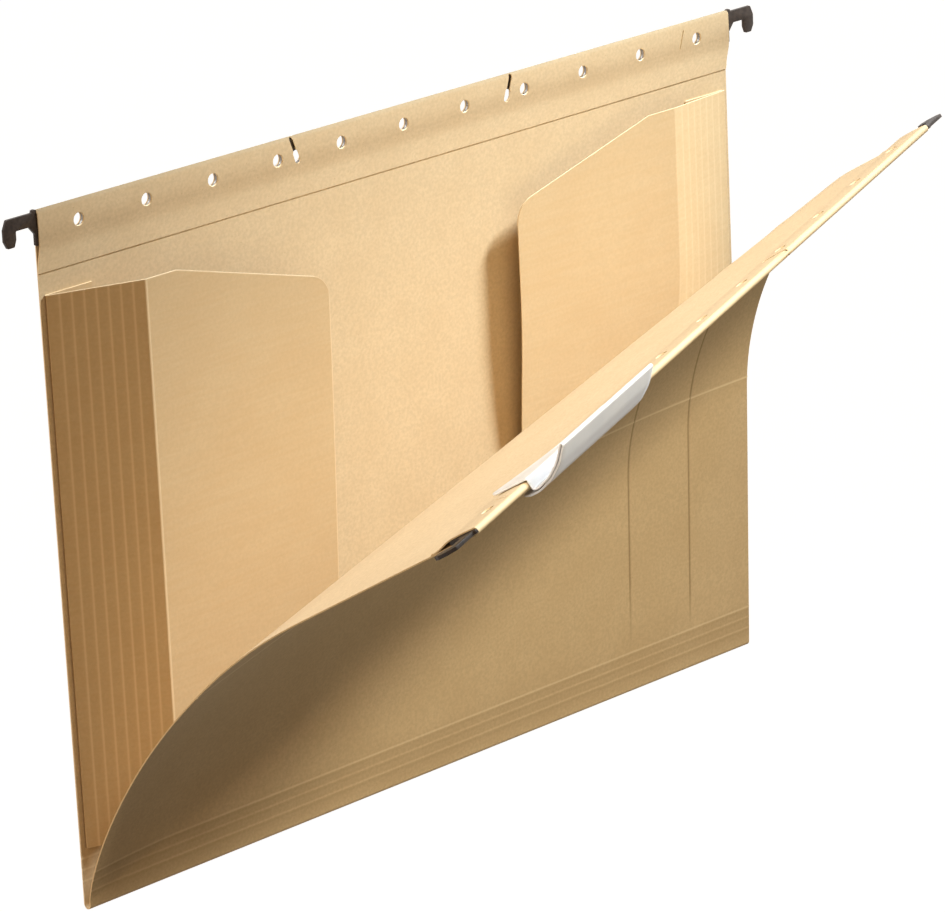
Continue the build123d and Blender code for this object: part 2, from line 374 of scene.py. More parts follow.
labelLook = {
    "name": "label_paper", "tones": ((232, 232, 230), (244, 244, 242)), "roughness": (0.75, 0.9),
    "grain": 0.5 * mm, "stretch": (0.4, 1, 1), "detail": 3.0, "bump": 0.05 * mm, "bumpStrength": 0.3,
    "sockets": {},
}
railSteel = makeFinish(steelLook)
cutSteel = makeFinish(cutLook)
tabPlastic = makeFinish(plasticLook)
tabEnd = makeFinish(endLook)
labelPaper = makeFinish(labelLook)
print("finishes ready")


# Columns shared by the back, the bottom fold and the cover, closer together beside the pressed lines

scores = {
    "upright": (97 * mm, 128 * mm), "uprightLow": 26 * mm, "uprightHigh": 212 * mm, "uprightFade": 2 * mm,
    # the upright grooves are darkened with painted shade
    "uprightSpan": 0.75 * mm, "uprightDepth": 0.16 * mm, "uprightDark": 0.8,
    # the level lines are painted pale: partly crushed fibres, partly painted highlight
    "level": (5.7 * mm, 9.9 * mm, 13.8 * mm), "levelRub": (0.35, 0.3, 0.65), "levelDepth": 0.1 * mm,
    "underDark": 0.1, "bandHigh": 16 * mm, "bandFade": 4 * mm, "bandDark": 0.2,  # painted shade under each level line and over a band along the cover's bottom, around the level lines
    # the crease is painted pale: partly crushed fibres, partly painted highlight where its ridge catches the
    # light
    "crease": 103 * mm, "creaseDepth": 0.2 * mm, "creaseRub": 0.85, "halfSpan": 0.55 * mm,
}
lineSteps = (-2, -1, -0.5, 0, 0.5, 1, 2)  # rows or columns across a pressed line, in half spans
columns = list(np.linspace(-halfWidth, halfWidth, 28))
columns += [side * (halfWidth - inset) for side in (-1, 1) for inset in (0.25 * mm, 0.6 * mm)]
for middle in scores["upright"]:
    columns = [u for u in columns if abs(u - middle) > 2.5 * mm]
    columns += [middle + step * scores["uprightSpan"] for step in lineSteps]
columns = np.array(sorted(columns))

hem = {
    "depth": 21.4 * mm, "foldRadius": 1.025 * mm, "foldBelow": 1.25 * mm,
    "bulge": 0.1 * mm, "bulgeFrom": 1.2 * mm, "pocketFrom": 2.2 * mm, "pocket": 11.0 * mm,
    "land": 20.0 * mm, "gap": 0.48 * mm, "skive": 0.28 * mm,  # the cut edge is pressed thinner
    "dipFrom": 2.0 * mm, "dip": 9.5 * mm, "dipEnd": 11.0 * mm, "dipTo": 15.8 * mm,
    "dipSlope": 0.115,  # the hem shades as if it fell in by this much
    # painted shade in a thin line along the hem's soft crease; painted highlight over the top folds, on the
    # cover strong enough to turn the fold white, on the back slight and partly wear
    "dark": 9.4 * mm, "darkSpan": 1.0 * mm, "darkRub": 0.06, "backFoldRub": 0.15, "coverFoldRub": 0.9,
}
foldTurn = np.radians(np.linspace(0, 180, 13))


def hemPath(foldHighlight):  # from the panel over the fold to the cut edge, measured from the card's top
    radius = hem["foldRadius"]
    levels = np.concatenate([
        np.linspace(hem["pocketFrom"], hem["pocket"], 12),
        np.linspace(hem["pocket"], hem["land"], 15)[1:],
        np.linspace(hem["land"], hem["depth"], 4)[1:],
    ])
    swell = np.minimum(1, (levels - hem["bulgeFrom"]) / (hem["pocket"] - hem["bulgeFrom"]))
    swell = np.maximum(np.sin(math.pi * swell), 0)
    share = smoothStep(hem["pocket"], hem["land"], levels)
    hanging = 2 * radius + hem["bulge"] * swell + (hem["gap"] - 2 * radius) * share
    offset = np.concatenate([radius * (1 - np.cos(foldTurn)), hanging])
    height = np.concatenate([radius * np.sin(foldTurn) - hem["foldBelow"], -levels])
    slope = smoothStep(hem["dipFrom"], hem["dip"], levels)
    slope = slope * (1 - smoothStep(hem["dipEnd"], hem["dipTo"], levels))
    fall = (slope[1:] + slope[:-1]) / 2 * np.diff(levels) * hem["dipSlope"]
    shaded = offset.copy()
    shaded[len(foldTurn):] = 2 * radius - np.concatenate([[0], np.cumsum(fall)])
    # painted shade along the hem's crease, and a painted highlight over the top of the fold
    dark = hem["darkRub"] * ridge(levels, hem["dark"], hem["darkSpan"])
    rub = np.concatenate([foldHighlight * np.sin(foldTurn) ** 2, -dark])
    return offset, height, shaded, rub


def pathNormals(across, up):
    run = np.gradient(across)
    rise = np.gradient(up)
    length = np.hypot(run, rise)
    return rise / length, -run / length


# Punched holes and slits, drawn about the card's top: x along the rail, y through the card, z up

punched = {
    "holes": 11, "edge": 16.5 * mm, "radius": 2.15 * mm, "taper": 0.2 * mm, "backRadius": 2.5 * mm,
    "below": 6.6 * mm, "slitHole": 2, "slitGap": 7.6 * mm, "slitBelow": 4.75 * mm, "slitLean": 18.0,
    "slitWidth": 1.5 * mm, "slitLength": 9.8 * mm, "windowWidth": 2.5 * mm, "windowLength": 4.9 * mm,
    "backWindow": 6.6 * mm, "notchHole": 5, "notchWidth": 0.45 * mm, "notchLength": 7.0 * mm,
    "notchBelow": 5.6 * mm, "notchRound": 0.46,
    "hemLayer": (-1.95 * mm, 1.5 * mm), "backLayer": (0.1 * mm, 1.4 * mm),  # middle and depth of each cut
}
holePitch = (2 * halfWidth - 2 * punched["edge"]) / (punched["holes"] - 1)
holeSpots = [(index - (punched["holes"] - 1) / 2) * holePitch for index in range(punched["holes"])]
slitX = punched["slitHole"] * holePitch - punched["slitGap"]
slitDrop = (punched["slitLength"] - punched["windowLength"]) / 2  # from the slit's middle to its wider half's


def leaned(x, z, degrees):  # turned in the plane of the card
    turn = math.radians(degrees)
    return x * math.cos(turn) + z * math.sin(turn), z * math.cos(turn) - x * math.sin(turn)


def roundedSlot(width, length, x, z, lean, layer):  # a box with its two ends rounded
    slot = addPrimitive("cube", size=1)
    middle, depth = punched[layer]
    writePoints(slot, readPoints(slot) * np.array([width, depth, length]))
    selectOnly(slot)
    bpy.ops.object.mode_set(mode="EDIT")
    bpy.ops.mesh.select_all(action="DESELECT")
    bpy.ops.object.mode_set(mode="OBJECT")
    for edge in slot.data.edges:
        first, second = (slot.data.vertices[i].co for i in edge.vertices)
        edge.select = abs(first.y - second.y) > 0.5 * depth
    bpy.ops.object.mode_set(mode="EDIT")
    bpy.ops.mesh.bevel(offset=width * punched["notchRound"], segments=5, affect="EDGES")
    bpy.ops.object.mode_set(mode="OBJECT")
    points = readPoints(slot)
    turnedX, turnedZ = leaned(points[:, 0], points[:, 2], lean)
    writePoints(slot, np.stack([turnedX + x, points[:, 1] + middle, turnedZ + z], axis=1))
    return slot


def keyhole(wide, wideLength, side, layer):  # a slit with a wider lower half
    thin = punched["slitWidth"] / 2
    broad = wide / 2
    right = []
    for turn in np.radians(np.linspace(-90, 0, 7)):
        right.append((broad * math.cos(turn), -slitDrop - wideLength / 2 + broad + broad * math.sin(turn)))
    for turn in np.linspace(0, math.acos(thin / broad), 7)[1:]:
        right.append((broad * math.cos(turn), -slitDrop + wideLength / 2 - broad + broad * math.sin(turn)))
    for turn in np.radians(np.linspace(0, 90, 5)):
        right.append((thin * math.cos(turn), punched["slitLength"] / 2 - thin + thin * math.sin(turn)))
    outline = np.array(right + [(-x, z) for x, z in reversed(right[1:-1])])
    middle, depth = punched[layer]
    slot = addPrimitive("cylinder", vertices=len(outline), radius=1, depth=depth)
    points = readPoints(slot)
    step = 2 * math.pi / len(outline)
    order = np.rint(-np.arctan2(points[:, 1], points[:, 0]) / step).astype(int) % len(outline)
    x, z = leaned(outline[order, 0], outline[order, 1], side * punched["slitLean"])
    writePoints(slot, np.stack([x + side * slitX, points[:, 2] + middle, z - punched["slitBelow"]], axis=1))
    return slot


def drill(x, frontRadius, rearRadius, layer):
    middle, depth = punched[layer]
    cone = addPrimitive("cone", vertices=40, radius1=frontRadius, radius2=rearRadius, depth=depth)
    points = readPoints(cone)
    z = -points[:, 1] - punched["below"]
    writePoints(cone, np.stack([points[:, 0] + x, points[:, 2] + middle, z], axis=1))
    return cone


def slitSpot(side):  # middle of the slit's wider lower half, from the middle of the card's top
    x, z = leaned(0, -slitDrop, side * punched["slitLean"])
    return x + side * slitX, z - punched["slitBelow"]


def hemCutters(mirror):
    cutters = []
    slope = punched["taper"] / cardThickness * punched["hemLayer"][1] / 2
    for x in holeSpots:
        middle = punched["radius"] - punched["taper"] / 2
        cutters.append(drill(x, middle + slope, middle - slope, "hemLayer"))
        cutters.append(drill(x, punched["backRadius"], punched["backRadius"], "backLayer"))
    for side in (-1, 1):
        cutters.append(keyhole(punched["windowWidth"], punched["windowLength"], side, "hemLayer"))
        cutters.append(keyhole(punched["backWindow"], punched["backWindow"], side, "backLayer"))
    x = punched["notchHole"] * holePitch - punched["slitGap"]
    cutters.append(roundedSlot(punched["notchWidth"], punched["notchLength"], x, -punched["notchBelow"],
                               punched["slitLean"], "hemLayer"))
    if mirror:
        for cutter in cutters:
            points = readPoints(cutter)
            writePoints(cutter, points * np.array([-1, -1, 1]))
    return cutters


# Back: panel, hem and top fold are one bent sheet

backSheet = {
    "scoreLevels": (8 * mm, 12 * mm, 16 * mm), "scoreDepth": 0.12 * mm, "scoreSpan": 0.6 * mm,
    # the pressed scores are painted pale: partly crushed fibres, partly painted highlight
    "scoreRub": 0.5, "rowGap": 1.5 * mm,
    "edgeRows": (-0.5 * mm, 0, 0.3 * mm, 0.6 * mm, 1.2 * mm),  # close rows below the hem's cut edge
    "softFrom": 30, "softTo": 75, "softShare": 0.88,  # the narrow fold shades much like the hem below it
}


def makeBackSheet():
    levels = list(np.linspace(0, panelHeight - hem["foldBelow"], 30)[:-1])
    under = panelHeight - hem["depth"]
    levels = [v for v in levels if abs(v - under) > max(backSheet["edgeRows"])]
    levels += [under - step for step in backSheet["edgeRows"]]
    for middle in backSheet["scoreLevels"]:
        levels = [v for v in levels if abs(v - middle) > backSheet["rowGap"]]
        levels += [middle + step * backSheet["scoreSpan"] for step in lineSteps]
    levels = np.array(sorted(levels))
    offset, height, shaded, hemPaintedLight = hemPath(hem["backFoldRub"])
    flatPart = np.zeros(len(levels))
    y = panelMiddle - np.concatenate([flatPart, offset])
    z = np.concatenate([hingeZ + levels, cardTop + height])
    normalY, normalZ = pathNormals(-np.concatenate([flatPart, shaded]), z)
    true = np.stack([np.zeros(len(z)), normalY, normalZ], axis=1)
    soft = true.copy()
    fold = slice(len(levels), len(levels) + len(foldTurn))
    share = smoothStep(math.radians(backSheet["softFrom"]), math.radians(backSheet["softTo"]), foldTurn)
    share = backSheet["softShare"] * share[:, None]
    soft[fold] = true[fold] * (1 - share) + true[fold.stop] * share
    soft = soft / np.linalg.norm(soft, axis=1)[:, None]
    # painted highlight over the top fold and painted shade along the hem's crease
    worn = np.concatenate([flatPart, hemPaintedLight])
    pressedLinesAndShade = np.zeros(len(z))
    for middle in backSheet["scoreLevels"]:
        pressedLinesAndShade[: len(levels)] += ridge(levels, middle, backSheet["scoreSpan"])
    y = y - pressedLinesAndShade * backSheet["scoreDepth"]
    across, row = np.meshgrid(columns, np.arange(len(z), dtype=float))
    sheet = cardBlank("back_sheet", across, row)
    flat = readPoints(sheet)
    line = np.rint(flat[:, 1]).astype(int)
    storeOnPoints(sheet, "sheetNormal", true[line])
    storeOnPoints(sheet, "shadeNormal", soft[line])
    storeOnPoints(sheet, "rub", pressedLinesAndShade[line] * backSheet["scoreRub"] + worn[line])
    writePoints(sheet, np.stack([flat[:, 0], y[line], z[line]], axis=1))
    thicken(sheet, cardThickness, kraftCard, cardEdge)
    points = readPoints(sheet)
    drop = cardTop - points[:, 2]
    outer = (points[:, 1] < panelMiddle - hem["gap"] - 0.1 * mm) & (drop < hem["depth"] + 0.1 * mm)
    thinner = np.clip((drop - hem["land"]) / (hem["depth"] - hem["land"]), 0, 1)
    points[:, 1] += hem["skive"] * thinner * outer
    writePoints(sheet, points)
    cutters = hemCutters(False)
    for cutter in cutters:
        writePoints(cutter, readPoints(cutter) + np.array([0, panelMiddle, cardTop]))
    punch(sheet, cutters, cardEdge)
    settleNormals(sheet)
    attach(sheet, "folder_back")
    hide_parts("back_panel", "back_hem")


makeBackSheet()
print("back sheet folded and punched")


# Bottom fold: a half-round crease between the back and the cover

bottomFold = {"rows": 17, "rub": 0.35}


def makeBottomFold():
    angle = np.radians(np.linspace(0, 180, bottomFold["rows"]))
    middle = (panelMiddle + hingeY) / 2
    radius = (panelMiddle - hingeY) / 2
    y = middle + radius * np.cos(angle)
    z = hingeZ - radius * np.sin(angle)
    across, row = np.meshgrid(columns, np.arange(len(z), dtype=float))
    crease = cardBlank("bottom_crease", across, row)
    flat = readPoints(crease)
    line = np.rint(flat[:, 1]).astype(int)
    outward = np.stack([np.zeros(len(angle)), np.cos(angle), -np.sin(angle)], axis=1)
    storeOnPoints(crease, "sheetNormal", outward[line])
    # paler towards the middle of the turn, where it faces down into shade: painted light
    storeOnPoints(crease, "rub", bottomFold["rub"] * np.sin(angle)[line])
    writePoints(crease, np.stack([flat[:, 0], y[line], z[line]], axis=1))
    thicken(crease, cardThickness, kraftCard, cardEdge)
    settleNormals(crease)
    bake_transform(crease)
    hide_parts("bottom_fold")


makeBottomFold()
print("bottom fold creased")


# Cover: a flat sheet bent along a fan of lines that crowd together at its lower left corner

fan = {
    "lean": math.radians(1.65), "step": math.radians(12.25), "linesPerBend": 14, "power": 2.1,
    "leftFirst": 2.0 * mm, "leftLast": 142.95 * mm, "rightFirst": 107.0 * mm, "rightLast": 200.05 * mm,
    "spread": (-0.0876, 0.1157, 0.3641, 0.6525, 0.8914, 1.0497),  # each bend fills one of these stretches
}


def fanEnds(share):
    left = fan["leftFirst"] + (fan["leftLast"] - fan["leftFirst"]) * max(share, 0) ** fan["power"]
    right = fan["rightFirst"] + (fan["rightLast"] - fan["rightFirst"]) * share
    return left, right


def fanHeight(share, u):
    left, right = fanEnds(share)
    return left + (right - left) * (u / (2 * halfWidth) + 0.5)


fineShares = []
for low, high in zip(fan["spread"][:-1], fan["spread"][1:]):
    fineShares += [low + (high - low) * (i + 0.5) / fan["linesPerBend"] for i in range(fan["linesPerBend"])]
fineStep = fan["step"] / fan["linesPerBend"]


def turned(points, through, axis, angles):
    axis = axis / np.linalg.norm(axis)
    offset = points - through
    cosine = np.cos(angles)[:, None]
    sine = np.sin(angles)[:, None]
    along = (offset @ axis)[:, None] * axis
    return through + offset * cosine + np.cross(axis, offset) * sine + along * (1 - cosine)


def bendCover(u, v, w):  # from the flat cover to its place, w is measured towards the folder's inside
    points = np.stack([u, hingeY + w, hingeZ + v], axis=1)
    normals = np.tile([0.0, 1.0, 0.0], (len(u), 1))
    origin = np.zeros(3)
    heights = [fanHeight(share, u) for share in fineShares]
    for index in reversed(range(len(fineShares))):
        left, right = fanEnds(fineShares[index])
        through = np.array([-halfWidth, hingeY, hingeZ + left])
        axis = np.array([2 * halfWidth, 0, right - left])
        rise = v - heights[index]
        points = turned(points, through, axis, fineStep * (rise > 1e-7))
        above = heights[min(index + 1, len(heights) - 1)] - heights[min(index, len(heights) - 2)]
        below = heights[max(index, 1)] - heights[max(index - 1, 0)]
        share = np.clip(0.5 + rise / np.maximum(np.where(rise > 0, above, below), 1e-6), 0, 1)
        normals = turned(normals, origin, axis, fineStep * share)
    hinge = np.array([0, hingeY, hingeZ])
    lean = np.full(len(u), fan["lean"])
    sideways = np.array([1.0, 0, 0])
    return turned(points, hinge, sideways, lean), turned(normals, origin, sideways, lean)


def pressCover(u, v):  # depth of the pressed lines at a point of the flat cover, with their painted highlights and painted shade
    depth = np.zeros(len(u))
    rub = np.zeros(len(u))
    half = scores["halfSpan"]
    span = window(scores["uprightLow"], scores["uprightHigh"], scores["uprightFade"], v)
    for middle in scores["upright"]:
        line = ridge(u, middle, scores["uprightSpan"]) * span
        depth += line * scores["uprightDepth"]
        # painted shade in the upright grooves
        rub -= scores["uprightDark"] * line
    for middle, worn in zip(scores["level"], scores["levelRub"]):
        line = ridge(v, middle, half)
        under = ridge(v, middle - 2 * half, 1.5 * half)
        depth -= line * scores["levelDepth"]
        # painted highlight on each level line, painted shade just under it
        rub += worn * line - scores["underDark"] * under
    # painted shade over the bottom band
    rub -= scores["bandDark"] * window(0, scores["bandHigh"], scores["bandFade"], v)
    line = ridge(v, scores["crease"], half)
    depth -= line * scores["creaseDepth"]
    rub += scores["creaseRub"] * line * (rub > -0.5)  # an upright line's painted shade stays dark where it crosses the crease
    return depth, rub


def atCoverTop(u, w, up):  # beside the cover's top edge, w towards the inside and up beyond the edge
    level = np.full(len(u), coverHeight)
    places = bendCover(u, level, w)[0]
    upwards = bendCover(u, level + 1 * mm, w)[0] - places
    return places + upwards / mm * up[:, None]


coverJoints = ["cover_curl", "cover_bend_2", "cover_bend_3", "cover_bend_4", "cover_bend_5"]
coverRows = {"low": 7, "lead": 7, "leadHeight": 2 * mm, "leadGap": 0.5 * mm, "hemBack": 7}


def clearInside(sheet, middle, normals):  # the painted shade of the pressed lines shows on the outer face alone
    moved = readPoints(sheet)
    rub = sheet.data.attributes["rub"].data
    count = len(middle)
    for half in (0, 1):
        inner = ((moved[half * count:(half + 1) * count] - middle) * normals).sum(axis=1) > 0
        for spot in np.flatnonzero(inner):
            rub[half * count + spot].value = max(rub[half * count + spot].value, 0)


def makeCoverSheet(index):
    low = fan["spread"][index]
    high = fan["spread"][index + 1]
    shares = fineShares[index * fan["linesPerBend"]:(index + 1) * fan["linesPerBend"]]
    rows = []
    if index == 0:
        first = fanHeight(shares[0], columns)
        rows += [first * part for part in np.linspace(0, 1, coverRows["low"])[:-1]]
    else:
        rows.append(fanHeight(low, columns))
    rows += [fanHeight(share, columns) for share in shares]
    top = index == len(coverJoints) - 1
    if top:
        hemStart = coverHeight - hem["depth"] - coverRows["leadHeight"]
        last = np.minimum(rows[-1], hemStart - coverRows["leadGap"])
        rows += [last + (hemStart - last) * part for part in np.linspace(0, 1, coverRows["lead"])[1:]]
        offset, height, shaded, hemPaintedLight = hemPath(hem["coverFoldRub"])
        levels = list(np.linspace(hemStart, coverHeight - hem["foldBelow"], coverRows["hemBack"])[1:-1])
        levels += [coverHeight + hem["foldBelow"] + i * mm for i in range(len(offset))]
        rows += [np.full(len(columns), v) for v in levels]
    else:
        rows.append(fanHeight(high, columns))
    along = np.array(rows)
    across = np.tile(columns, (len(rows), 1))
    sheet = cardBlank(f"cover_sheet_{index + 1}", across, along)
    lines = []
    for middle in (*scores["level"], scores["crease"]):
        lines += [middle + step * scores["halfSpan"] for step in (-3.5, -2, -1, -0.5, 0, 0.5, 1)]
    cutLines(sheet, [level for level in lines if along[0].min() < level < along[-1].max()])
    flat = readPoints(sheet)
    u = flat[:, 0]
    v = flat[:, 1].copy()
    w, rub = pressCover(u, v)
    turnV = np.zeros(len(u))
    turnW = np.ones(len(u))
    if top:
        folded = v > coverHeight
        line = np.rint((v - coverHeight - hem["foldBelow"]) / mm).astype(int).clip(0, len(offset) - 1)
        normalW, normalV = pathNormals(shaded, height)
        w = np.where(folded, offset[line], w)
        rub = np.where(folded, hemPaintedLight[line], rub)
        turnW = np.where(folded, normalW[line], 1.0)
        turnV = np.where(folded, normalV[line], 0.0)
        v = np.where(folded, coverHeight + height[line], v)
    points, normals = bendCover(u, v, w)
    if top:
        ahead, _ = bendCover(u, v + 1 * mm, w)
        upward = (ahead - points) / mm
        normals = normals * turnW[:, None] + upward * turnV[:, None]
    storeOnPoints(sheet, "sheetNormal", normals)
    storeOnPoints(sheet, "rub", rub)
    writePoints(sheet, points)
    thicken(sheet, cardThickness, kraftCard, cardEdge)
    clearInside(sheet, points, normals)
    if top:
        cutters = hemCutters(True)
        for cutter in cutters:
            writePoints(cutter, atCoverTop(*readPoints(cutter).T))
        punch(sheet, cutters, cardEdge)
    settleNormals(sheet)
    joint = joints[coverJoints[index]]
    axis = Vector(joint["axis"])
    middleHeight = np.array([fanHeight(index / (len(coverJoints) - 1), 0.0)])
    _, facing = bendCover(np.zeros(1), middleHeight, np.zeros(1))
    across = Vector(facing[0]).cross(axis)
    if across.z < 0:
        across = -across
    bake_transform(sheet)
    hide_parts(f"cover_panel_{index + 1}")
    if top:
        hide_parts("cover_panel_6", "front_hem")


for index in range(len(coverJoints)):
    makeCoverSheet(index)
print("cover bent in five sheets")


# Side flaps: a glued tab, a scored gusset and a face with a slanted top, each in thinner card

glueLow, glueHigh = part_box("right_glue_tab")
flapThickness = glueHigh.y - glueLow.y
foldX = glueHigh.x
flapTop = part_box("right_flap_face")[1].z
foldSlant = flapTop - glueHigh.z  # the top edge is lower at the fold
flapBase = glueLow.z
flap = {
    "gusset": 32 * mm, "face": 78 * mm, "gussetRise": 27 * mm, "faceRise": 29 * mm, "level": 13 * mm,
    "foot": 10.5 * mm, "footRise": 0.5 * mm, "slope": 18 * mm, "corner": 9 * mm, "turnRadius": 0.33 * mm,
    "creaseSpan": 0.5 * mm, "creaseSteps": 24, "glueRows": 30, "rows": 48,
    # the glued tab's cut edges are painted pale: partly cut fibres, partly painted highlight
    "paleEdge": 0.45 * mm, "glueRub": 0.12, "scoreFirst": 0.95, "scorePitch": 4.0 * mm, "scoreCount": 7,
    "scoreSpan": 0.55 * mm, "scoreDepth": 0.08 * mm,
    "lineRub": 0.45, "haloRub": 0.12, "lineDark": 0.22, "turnDark": 0.9,  # painted highlight on each score and around it, painted shade on its side away from the light, and painted shadow in the fold's tight turn
    "creasePale": (0.25 * mm, 0.8 * mm), "creaseRuns": (0.65 * mm, 0.8 * mm), "faceFrom": 1.1 * mm,
}
flapEnd = flap["gusset"] + flap["face"]
flapPlane = glueLow.y + flapThickness / 2 - 2 * flap["turnRadius"]  # the gusset starts before its glued tab
# each flap's crease, cut edges and scores carry painted highlights and painted shade, stronger on the left
# flap, which lies in shade
leaning = {  # angles low down and in the upper part, and the heights between which they change
    "left": {"gusset": (24.0, 28.5), "lean": (-3.0, 0.2), "from": -20 * mm, "to": 190 * mm, "side": -1,
             "shade": (8.5, 2.0), "creaseRub": 0.9, "edgeRub": 0.8, "scoreRub": 1.0},
    "right": {"gusset": (3.0, 11.2), "lean": (0.6, -0.8), "from": 70 * mm, "to": 140 * mm, "side": 1,
              "shade": (0.0, 0.0), "creaseRub": 0.2, "edgeRub": 0.1, "scoreRub": 0.35},
}


def flapLow(s):
    rise = flap["faceRise"] / flap["face"]
    steep = (flap["gussetRise"] - flap["footRise"]) / (flap["gusset"] - flap["foot"])
    upper = flap["footRise"] + steep * (s - flap["foot"])
    climb = np.where(s < flap["foot"], flap["footRise"] * s / flap["foot"], upper)
    line = flapBase + np.where(s < flap["gusset"], climb, flap["gussetRise"] + rise * (s - flap["gusset"]))
    middle = flapEnd - flap["corner"]
    middleZ = flapBase + flap["gussetRise"] + rise * (middle - flap["gusset"])
    middleZ = middleZ + flap["corner"] * math.hypot(1, rise)
    touch = middle + flap["corner"] * rise / math.hypot(1, rise)
    arc = middleZ - np.sqrt(np.maximum(flap["corner"] ** 2 - (s - middle) ** 2, 0))
    return np.where(s > touch, arc, line)


def flapHigh(s):
    start = flap["gusset"] + flap["level"]
    fall = flap["slope"] / (flapEnd - start)
    line = flapTop - np.maximum(s - start, 0) * fall - foldSlant * np.clip(1 - s / flap["gusset"], 0, 1)
    middle = flapEnd - flap["corner"]
    middleZ = flapTop - (middle - start) * fall - flap["corner"] * math.hypot(1, fall)
    touch = middle + flap["corner"] * fall / math.hypot(1, fall)
    arc = middleZ + np.sqrt(np.maximum(flap["corner"] ** 2 - (s - middle) ** 2, 0))
    return np.where(s > touch, arc, line)


def twisted(key, z, pose):  # an angle of the flap at a height
    low, high = pose[key]
    rise = smoothStep(flapBase + pose["from"], flapBase + pose["to"], z)
    return np.radians(low + (high - low) * rise)


def flapSection(s, z, pose):  # where the folded strip lies at each run s from its fold and height z
    gusset = twisted("gusset", z, pose)
    lean = twisted("lean", z, pose)
    start = flap["gusset"]
    half = flap["creaseSpan"]
    steps = flap["creaseSteps"]
    straight = np.minimum(s, start - half)
    x = foldX - straight * np.cos(gusset)
    y = flapPlane - straight * np.sin(gusset)
    curved = np.clip(s - (start - half), 0, 2 * half)
    for step in range(steps):
        piece = np.clip(curved - step * 2 * half / steps, 0, 2 * half / steps)
        heading = gusset + (lean - gusset) * (step + 0.5) / steps
        x = x - piece * np.cos(heading)
        y = y - piece * np.sin(heading)
    rest = np.maximum(s - (start + half), 0)
    x = x - rest * np.cos(lean)
    y = y - rest * np.sin(lean)
    heading = gusset + (lean - gusset) * np.clip((s - start + half) / (2 * half), 0, 1)
    return x, y, heading


def bendFlap(sheet, pose, lift, rub):
    flat = readPoints(sheet)
    s = flat[:, 0]
    z = flat[:, 1]
    x, y, heading = flapSection(np.maximum(s, 0), z, pose)
    normalX = np.sin(heading)
    normalY = -np.cos(heading)
    radius = flap["turnRadius"]
    around = s < 0  # the tight turn from the glued tab into the gusset
    angle = np.where(around, -s / radius, 0)
    turnX = foldX + radius * np.sin(angle)
    turnY = flapPlane + radius - radius * np.cos(angle)
    x = np.where(around, turnX, x)
    y = np.where(around, turnY, y)
    normalX = np.where(around, np.sin(angle), normalX)
    normalY = np.where(around, -np.cos(angle), normalY)
    x = x + lift * normalX
    y = y + lift * normalY
    side = pose["side"]
    level = np.zeros(len(s))
    storeOnPoints(sheet, "sheetNormal", np.stack([side * normalX, normalY, level], axis=1))
    shade = twisted("shade", z, pose)  # the face shades a little further round
    shade = shade * smoothStep(flap["gusset"], flap["gusset"] + flap["creaseSpan"], s)
    softX = normalX * np.cos(shade) - normalY * np.sin(shade)
    softY = normalY * np.cos(shade) + normalX * np.sin(shade)
    storeOnPoints(sheet, "shadeNormal", np.stack([side * softX, softY, level], axis=1))
    storeOnPoints(sheet, "rub", rub)
    writePoints(sheet, np.stack([side * x, y, z], axis=1))
    if side < 0:
        selectOnly(sheet)
        bpy.ops.object.mode_set(mode="EDIT")
        bpy.ops.mesh.select_all(action="SELECT")
        bpy.ops.mesh.flip_normals()
        bpy.ops.object.mode_set(mode="OBJECT")
    thicken(sheet, flapThickness, flapCard, cardEdge)
    settleNormals(sheet)


def heightRows(low, high, count):  # even rows and two close ones along the top edge
    under = high - 2 * flap["paleEdge"]
    even = low[None, :] + (under - low)[None, :] * np.linspace(0, 1, count - 2)[:, None]
    return np.concatenate([even, [high - flap["paleEdge"], high]])


def paleEdge(low, high):  # 1 on a cut edge, where the two meet
    return 1 - smoothStep(0, flap["paleEdge"], high - low)


def makeGlueTab(word, side):
    tabLow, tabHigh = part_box(f"{word}_glue_tab")
    innerX = foldX - (tabHigh.x - tabLow.x)
    runs = list(np.linspace(tabLow.x, tabHigh.x, 9))
    runs = np.array(sorted(runs + [side * (innerX + flap["paleEdge"])]))
    low = np.full(len(runs), flapBase)
    high = np.full(len(runs), tabHigh.z)
    along = heightRows(low, high, flap["glueRows"])
    sheet = cardBlank(f"{word}_glue_strip", np.tile(runs, (flap["glueRows"], 1)), along)
    flat = readPoints(sheet)
    storeOnPoints(sheet, "sheetNormal", np.tile([0.0, -1.0, 0.0], (len(flat), 1)))
    # pale top and inner edges: partly cut fibres, partly painted highlight
    pale = np.maximum(paleEdge(flat[:, 1], tabHigh.z), paleEdge(innerX, np.abs(flat[:, 0])))
    storeOnPoints(sheet, "rub", flap["glueRub"] * pale)
    middle = (tabLow.y + tabHigh.y) / 2
    writePoints(sheet, np.stack([flat[:, 0], np.full(len(flat), middle), flat[:, 1]], axis=1))
    thicken(sheet, flapThickness, flapCard, cardEdge)
    settleNormals(sheet)
    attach(sheet, "folder_back")
    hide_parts(f"{word}_glue_tab")


